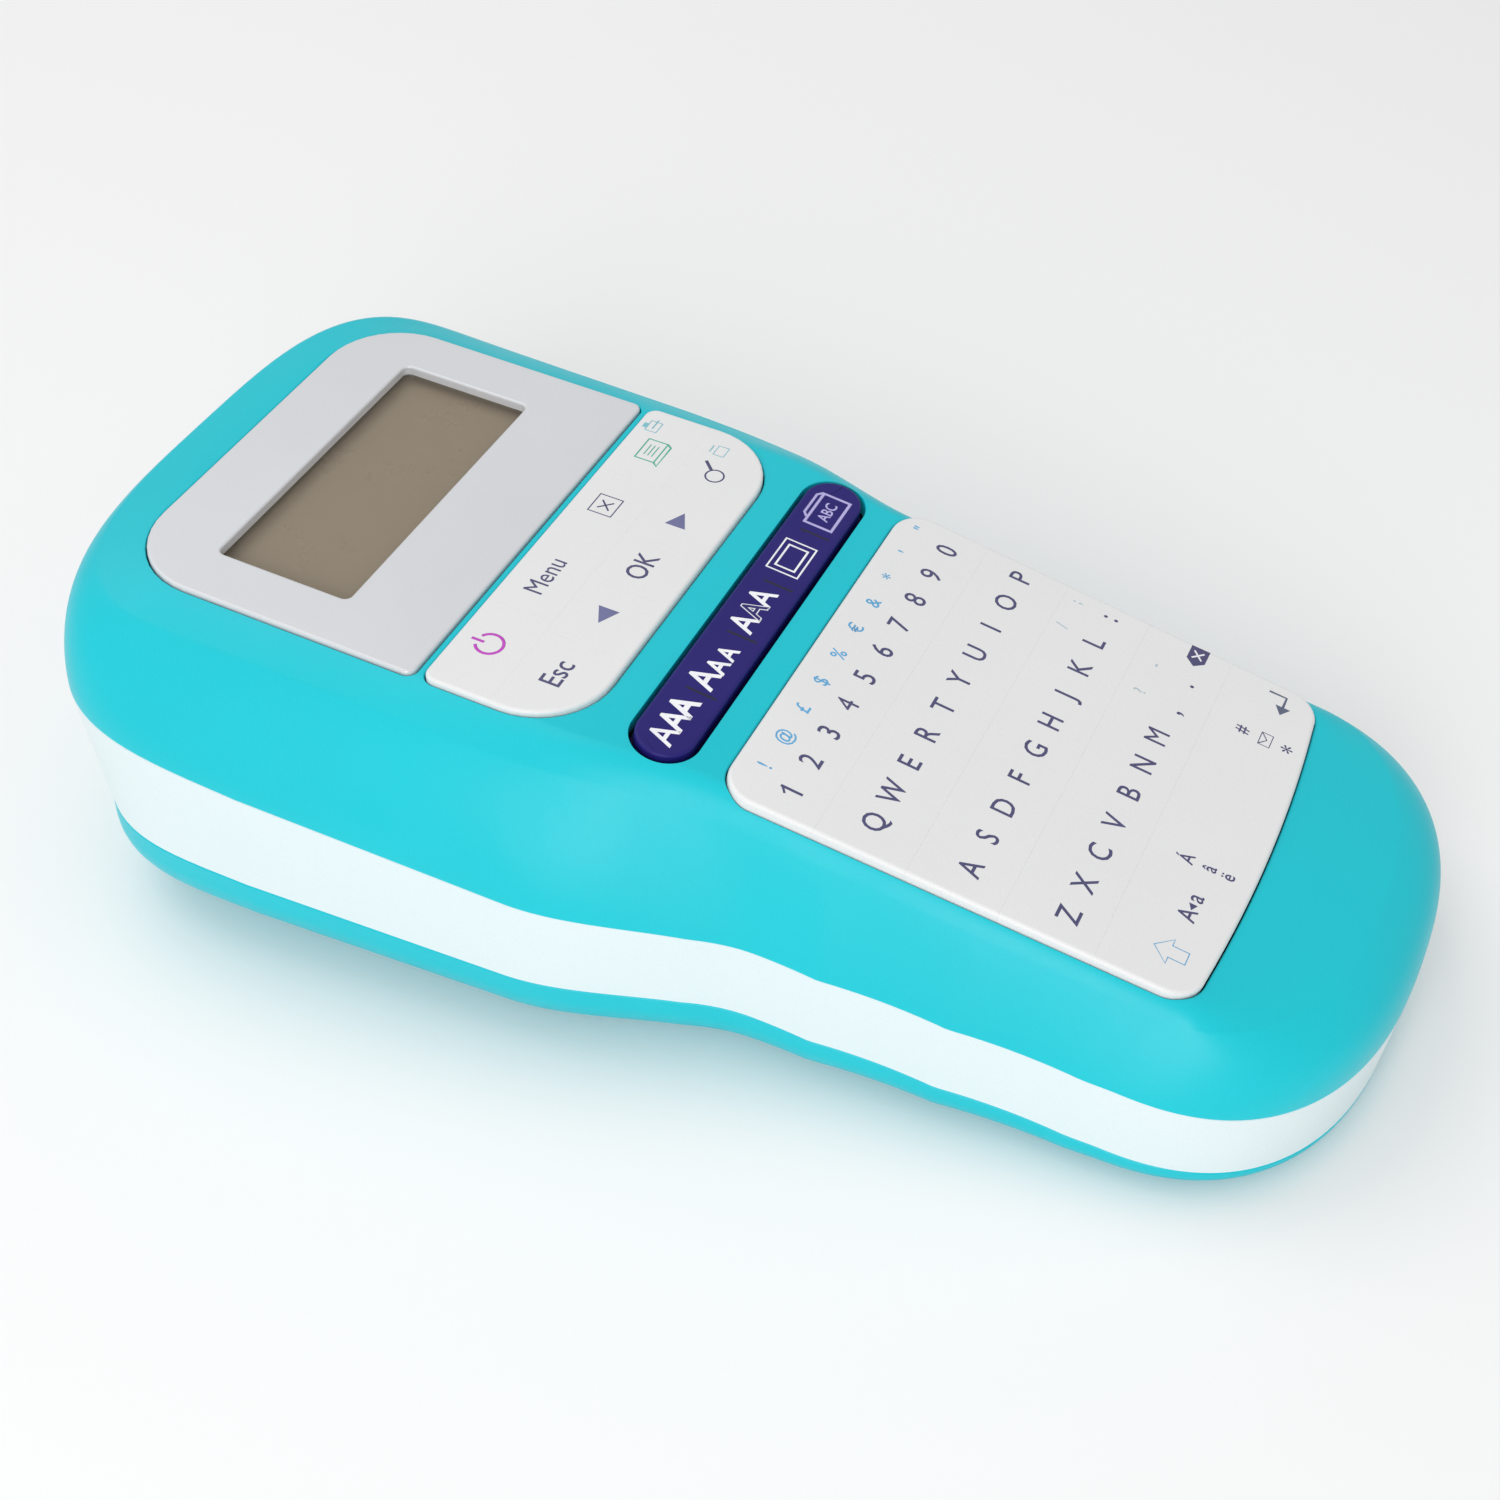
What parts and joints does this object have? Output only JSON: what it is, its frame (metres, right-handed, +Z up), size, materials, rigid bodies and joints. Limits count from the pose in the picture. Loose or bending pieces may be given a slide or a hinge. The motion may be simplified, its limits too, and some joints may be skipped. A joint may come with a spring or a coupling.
{
  "type": "label maker",
  "caption": "Handheld label maker with a full keyboard, navigation keys, a small display and a tape cassette under a lift-off back.",
  "frame": {"origin": "centre of the footprint, on the surface that the label maker stands on", "axes": "+Z up, +Y along the body towards the display end where the label comes out, +X to the user's right"},
  "size_m": [0.109, 0.2086, 0.0587],
  "materials": {
    "teal_shell": "satin",
    "white_band": "satin",
    "silver_panel": "satin",
    "clear_lens": "clear",
    "lcd": "glossy",
    "black_plastic": "matte",
    "flex_film": "satin",
    "key_rubber": "matte",
    "navy_rubber": "matte",
    "circuit_board": "satin",
    "steel": "brushed",
    "brass": "polished",
    "nylon": "satin",
    "platen_rubber": "matte",
    "ceramic": "satin",
    "cassette_plastic": "satin",
    "cassette_grey": "satin",
    "tape_film": "glossy",
    "ribbon_film": "glossy",
    "cell_wrap": "glossy"
  },
  "bodies": {
    "case": {"top_cover": "teal_shell", "mid_case": "white_band", "display_panel": "silver_panel", "lcd_lens": "clear_lens", "lcd_glass": "lcd", "lcd_holder": "black_plastic", "lcd_flex": "flex_film", "nav_pad": "key_rubber", "style_pad": "navy_rubber", "key_pad": "key_rubber", "main_pcb": "circuit_board", "upper_pcb": "circuit_board", "board_chips": "black_plastic", "dc_jack": "black_plastic", "mech_plate": "steel", "feed_motor": "steel", "batteries": "cell_wrap", "battery_springs": "steel", "battery_contacts": "steel", "case_screws": "steel", "head_spring": "steel", "cutter_spring": "steel"},
    "back": {"back_cover": "teal_shell"},
    "latch": {"cover_latch": "black_plastic"},
    "cassette": {"cassette_shell": "cassette_plastic", "cassette_lid": "cassette_grey"},
    "tape_reel": {"tape_roll": "tape_film"},
    "supply_reel": {"ribbon_supply": "ribbon_film"},
    "takeup_reel": {"ribbon_takeup": "ribbon_film"},
    "platen": {"platen_gear": "nylon", "platen_shaft": "steel", "platen_roller": "platen_rubber"},
    "pinion": {"motor_pinion": "brass"},
    "idler": {"idler_gear": "nylon"},
    "ribbon_train": {"ribbon_idler": "nylon"},
    "spindle": {"ribbon_spindle": "nylon"},
    "print_arm": {"head_arm": "steel", "print_head": "ceramic"},
    "cutter": {"cutter_lever": "teal_shell", "cutter_blade": "steel"},
    "nav_power": {"nav_key_power": "key_rubber"},
    "nav_menu": {"nav_key_menu": "key_rubber"},
    "nav_clear": {"nav_key_clear": "key_rubber"},
    "nav_print": {"nav_key_print": "key_rubber"},
    "nav_escape": {"nav_key_escape": "key_rubber"},
    "nav_left": {"nav_key_left": "key_rubber"},
    "nav_ok": {"nav_key_ok": "key_rubber"},
    "nav_right": {"nav_key_right": "key_rubber"},
    "nav_preview": {"nav_key_preview": "key_rubber"},
    "style_bold": {"style_key_bold": "navy_rubber"},
    "style_outline": {"style_key_outline": "navy_rubber"},
    "style_shadow": {"style_key_shadow": "navy_rubber"},
    "style_frame": {"style_key_frame": "navy_rubber"},
    "style_label": {"style_key_label": "navy_rubber"},
    "row_digits": {"key_row_digits": "key_rubber"},
    "row_upper": {"key_row_upper": "key_rubber"},
    "row_home": {"key_row_home": "key_rubber"},
    "row_lower": {"key_row_lower": "key_rubber"},
    "row_space": {"key_row_space": "key_rubber"}
  },
  "joints": [
    {"name": "back_lift", "type": "slide", "parent": "case", "child": "back", "axis": [0, 0.1253, -0.9921], "range_m": [0, 0.06]},
    {"name": "latch_slide", "type": "slide", "parent": "back", "child": "latch", "axis": [0, 0.9921, 0.1253], "range_m": [0, 0.0025], "stiffness_N_per_m": 400},
    {"name": "cassette_lift", "type": "slide", "parent": "case", "child": "cassette", "axis": [0, 0.1253, -0.9921], "range_m": [0, 0.03]},
    {"name": "platen_spin", "type": "hinge", "parent": "case", "child": "platen", "pos_m": [0.0348, 0.07814, 0.02873], "axis": [0, -0.1253, 0.9921], "continuous": true},
    {"name": "pinion_spin", "type": "hinge", "parent": "case", "child": "pinion", "pos_m": [0.03921, 0.04609, 0.02468], "axis": [0, -0.1253, 0.9921], "continuous": true},
    {"name": "idler_spin", "type": "hinge", "parent": "case", "child": "idler", "pos_m": [0.03795, 0.06044, 0.02649], "axis": [0, -0.1253, 0.9921], "continuous": true},
    {"name": "ribbon_train_spin", "type": "hinge", "parent": "case", "child": "ribbon_train", "pos_m": [0.02116, 0.07322, 0.0281], "axis": [0, -0.1253, 0.9921], "continuous": true},
    {"name": "spindle_spin", "type": "hinge", "parent": "case", "child": "spindle", "pos_m": [0.008, 0.06713, 0.02734], "axis": [0, -0.1253, 0.9921], "continuous": true},
    {"name": "tape_spin", "type": "hinge", "parent": "cassette", "child": "tape_reel", "pos_m": [-0.007, 0.04739, 0.02484], "axis": [0, -0.1253, 0.9921], "continuous": true},
    {"name": "supply_spin", "type": "hinge", "parent": "cassette", "child": "supply_reel", "pos_m": [-0.019, 0.07169, 0.02791], "axis": [0, -0.1253, 0.9921], "continuous": true},
    {"name": "takeup_spin", "type": "hinge", "parent": "cassette", "child": "takeup_reel", "pos_m": [0.008, 0.06713, 0.02734], "axis": [0, -0.1253, 0.9921], "continuous": true},
    {"name": "print_arm_open", "type": "hinge", "parent": "case", "child": "print_arm", "pos_m": [0.0279, 0.06921, 0.0276], "axis": [0, -0.1253, 0.9921], "range_deg": [0, 5], "stiffness_Nm_per_rad": 0.2},
    {"name": "cutter_press", "type": "hinge", "parent": "case", "child": "cutter", "pos_m": [0.046, 0.06524, 0.0271], "axis": [0, -0.1253, 0.9921], "range_deg": [0, 9], "stiffness_Nm_per_rad": 0.3},
    {"name": "press_nav_power", "type": "slide", "parent": "case", "child": "nav_power", "axis": [0, 0.0924, -0.9957], "range_m": [0, 0.0008], "stiffness_N_per_m": 300},
    {"name": "press_nav_menu", "type": "slide", "parent": "case", "child": "nav_menu", "axis": [0, 0.0924, -0.9957], "range_m": [0, 0.0008], "stiffness_N_per_m": 300},
    {"name": "press_nav_clear", "type": "slide", "parent": "case", "child": "nav_clear", "axis": [0, 0.0924, -0.9957], "range_m": [0, 0.0008], "stiffness_N_per_m": 300},
    {"name": "press_nav_print", "type": "slide", "parent": "case", "child": "nav_print", "axis": [0, 0.0924, -0.9957], "range_m": [0, 0.0008], "stiffness_N_per_m": 300},
    {"name": "press_nav_escape", "type": "slide", "parent": "case", "child": "nav_escape", "axis": [0, 0.0924, -0.9957], "range_m": [0, 0.0008], "stiffness_N_per_m": 300},
    {"name": "press_nav_left", "type": "slide", "parent": "case", "child": "nav_left", "axis": [0, 0.0924, -0.9957], "range_m": [0, 0.0008], "stiffness_N_per_m": 300},
    {"name": "press_nav_ok", "type": "slide", "parent": "case", "child": "nav_ok", "axis": [0, 0.0924, -0.9957], "range_m": [0, 0.0008], "stiffness_N_per_m": 300},
    {"name": "press_nav_right", "type": "slide", "parent": "case", "child": "nav_right", "axis": [0, 0.0924, -0.9957], "range_m": [0, 0.0008], "stiffness_N_per_m": 300},
    {"name": "press_nav_preview", "type": "slide", "parent": "case", "child": "nav_preview", "axis": [0, 0.0924, -0.9957], "range_m": [0, 0.0008], "stiffness_N_per_m": 300},
    {"name": "press_style_bold", "type": "slide", "parent": "case", "child": "style_bold", "axis": [0, 0.184, -0.9829], "range_m": [0, 0.0008], "stiffness_N_per_m": 300},
    {"name": "press_style_outline", "type": "slide", "parent": "case", "child": "style_outline", "axis": [0, 0.184, -0.9829], "range_m": [0, 0.0008], "stiffness_N_per_m": 300},
    {"name": "press_style_shadow", "type": "slide", "parent": "case", "child": "style_shadow", "axis": [0, 0.184, -0.9829], "range_m": [0, 0.0008], "stiffness_N_per_m": 300},
    {"name": "press_style_frame", "type": "slide", "parent": "case", "child": "style_frame", "axis": [0, 0.184, -0.9829], "range_m": [0, 0.0008], "stiffness_N_per_m": 300},
    {"name": "press_style_label", "type": "slide", "parent": "case", "child": "style_label", "axis": [0, 0.184, -0.9829], "range_m": [0, 0.0008], "stiffness_N_per_m": 300},
    {"name": "press_row_digits", "type": "slide", "parent": "case", "child": "row_digits", "axis": [0, 0.2233, -0.9748], "range_m": [0, 0.0008], "stiffness_N_per_m": 600},
    {"name": "press_row_upper", "type": "slide", "parent": "case", "child": "row_upper", "axis": [0, 0.2233, -0.9748], "range_m": [0, 0.0008], "stiffness_N_per_m": 600},
    {"name": "press_row_home", "type": "slide", "parent": "case", "child": "row_home", "axis": [0, 0.2233, -0.9748], "range_m": [0, 0.0008], "stiffness_N_per_m": 600},
    {"name": "press_row_lower", "type": "slide", "parent": "case", "child": "row_lower", "axis": [0, 0.2233, -0.9748], "range_m": [0, 0.0008], "stiffness_N_per_m": 600},
    {"name": "press_row_space", "type": "slide", "parent": "case", "child": "row_space", "axis": [0, 0.2233, -0.9748], "range_m": [0, 0.0008], "stiffness_N_per_m": 600}
  ],
  "couplings": [
    {"joint": "cassette_lift", "follows": "back_lift", "ratio": 0.5},
    {"joint": "platen_spin", "follows": "tape_spin", "ratio": -4.5},
    {"joint": "pinion_spin", "follows": "tape_spin", "ratio": -9},
    {"joint": "idler_spin", "follows": "tape_spin", "ratio": 3},
    {"joint": "ribbon_train_spin", "follows": "tape_spin", "ratio": 4.5},
    {"joint": "spindle_spin", "follows": "tape_spin", "ratio": -4.5},
    {"joint": "takeup_spin", "follows": "tape_spin", "ratio": -4.5},
    {"joint": "supply_spin", "follows": "tape_spin", "ratio": 2.5714}
  ]
}
